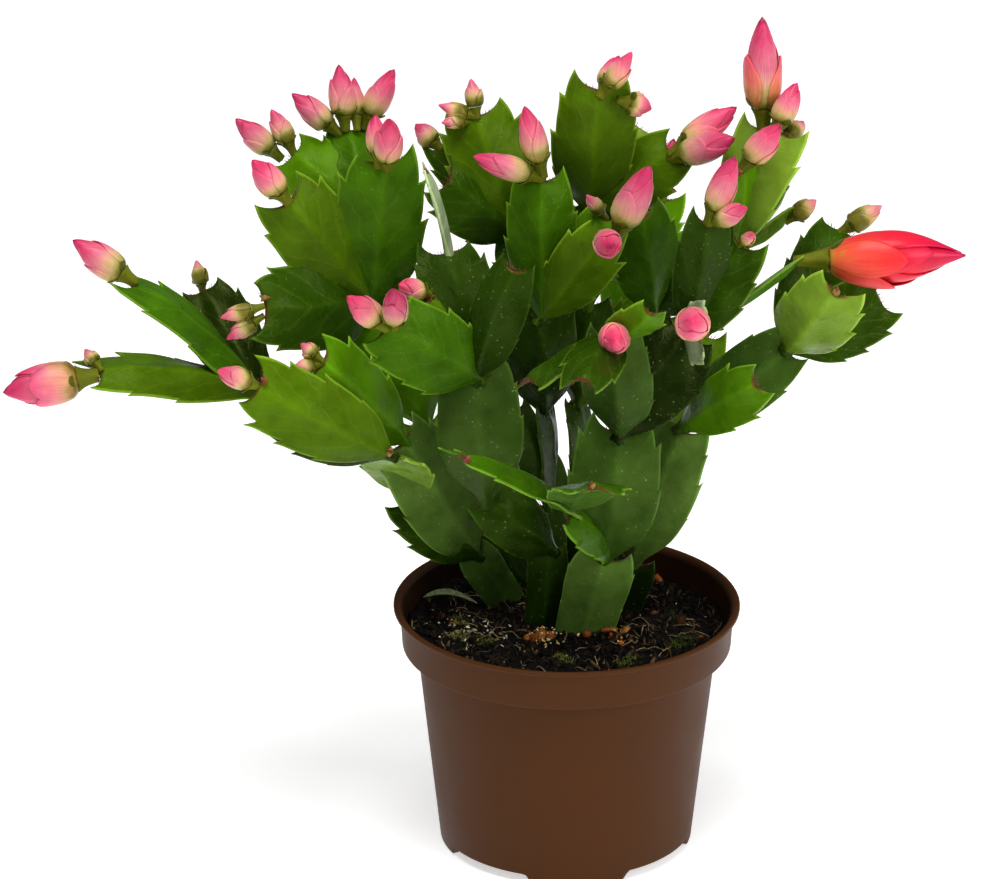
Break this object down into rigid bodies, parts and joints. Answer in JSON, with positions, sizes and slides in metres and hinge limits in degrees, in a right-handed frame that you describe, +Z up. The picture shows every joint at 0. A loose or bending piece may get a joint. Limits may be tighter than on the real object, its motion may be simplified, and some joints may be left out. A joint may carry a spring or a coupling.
{
  "type": "potted christmas cactus",
  "caption": "Christmas cactus in a round moulded plant pot: arching stems of flat toothed segments, with closed buds at their tips and an opening flower.",
  "frame": {"origin": "middle of the pot's underside, on the flat boss that stands level with its feet", "axes": "+Z up along the pot's axis; +Y away from the viewer of the plant's front; +X to the right, towards the opening flower"},
  "size_m": [0.324, 0.172, 0.294],
  "materials": {
    "pot": "satin moulded brown plastic",
    "soil": "damp black peat with bark and fibres",
    "stem": "waxy fleshy green, grey-green and speckled on old segments",
    "bud": "smooth pink petals, paler at the foot",
    "flower": "smooth red petals, translucent at the edge"
  },
  "bodies": {
    "root": {"pot": "pot", "soil": "soil", "stem_front": "stem", "stem_front_bud_1": "bud", "stem_front_bud_2": "bud", "stem_front_bud_3": "bud", "stem_front_bud_4": "bud", "flower": "flower", "stem_right": "stem", "stem_right_bud_1": "bud", "stem_left": "stem", "stem_left_bud_1": "bud", "stem_left_bud_2": "bud", "stem_left_bud_3": "bud", "stem_left_bud_4": "bud", "stem_left_bud_5": "bud", "stem_left_bud_6": "bud", "stem_left_bud_7": "bud", "stem_middle": "stem", "stem_middle_bud_1": "bud", "stem_middle_bud_2": "bud", "stem_middle_bud_3": "bud", "stem_left_back": "stem", "stem_left_back_bud_1": "bud", "stem_left_back_bud_2": "bud", "stem_left_back_bud_3": "bud", "stem_left_back_bud_4": "bud", "stem_left_back_bud_5": "bud", "stem_left_back_bud_6": "bud", "stem_left_back_bud_7": "bud", "stem_left_back_bud_8": "bud", "stem_left_back_bud_9": "bud", "stem_centre_back": "stem", "stem_centre_back_bud_1": "bud", "stem_centre_back_bud_2": "bud", "stem_centre_back_bud_3": "bud", "stem_centre_back_bud_4": "bud", "stem_centre_back_bud_5": "bud", "stem_centre_back_bud_6": "bud", "stem_centre_back_bud_7": "bud", "stem_centre_back_bud_8": "bud", "stem_right_back": "stem", "stem_right_back_bud_1": "bud", "stem_right_back_bud_2": "bud", "stem_right_back_bud_3": "bud", "stem_right_back_bud_4": "bud", "stem_right_back_bud_5": "bud", "stem_right_back_bud_6": "bud", "stem_right_back_bud_7": "bud", "stem_right_back_bud_8": "bud", "stem_right_back_bud_9": "bud", "stem_back": "stem", "stem_back_bud_1": "bud", "stem_back_bud_2": "bud", "stem_back_bud_3": "bud", "stem_back_bud_4": "bud", "stem_back_bud_5": "bud"}
  },
  "joints": []
}
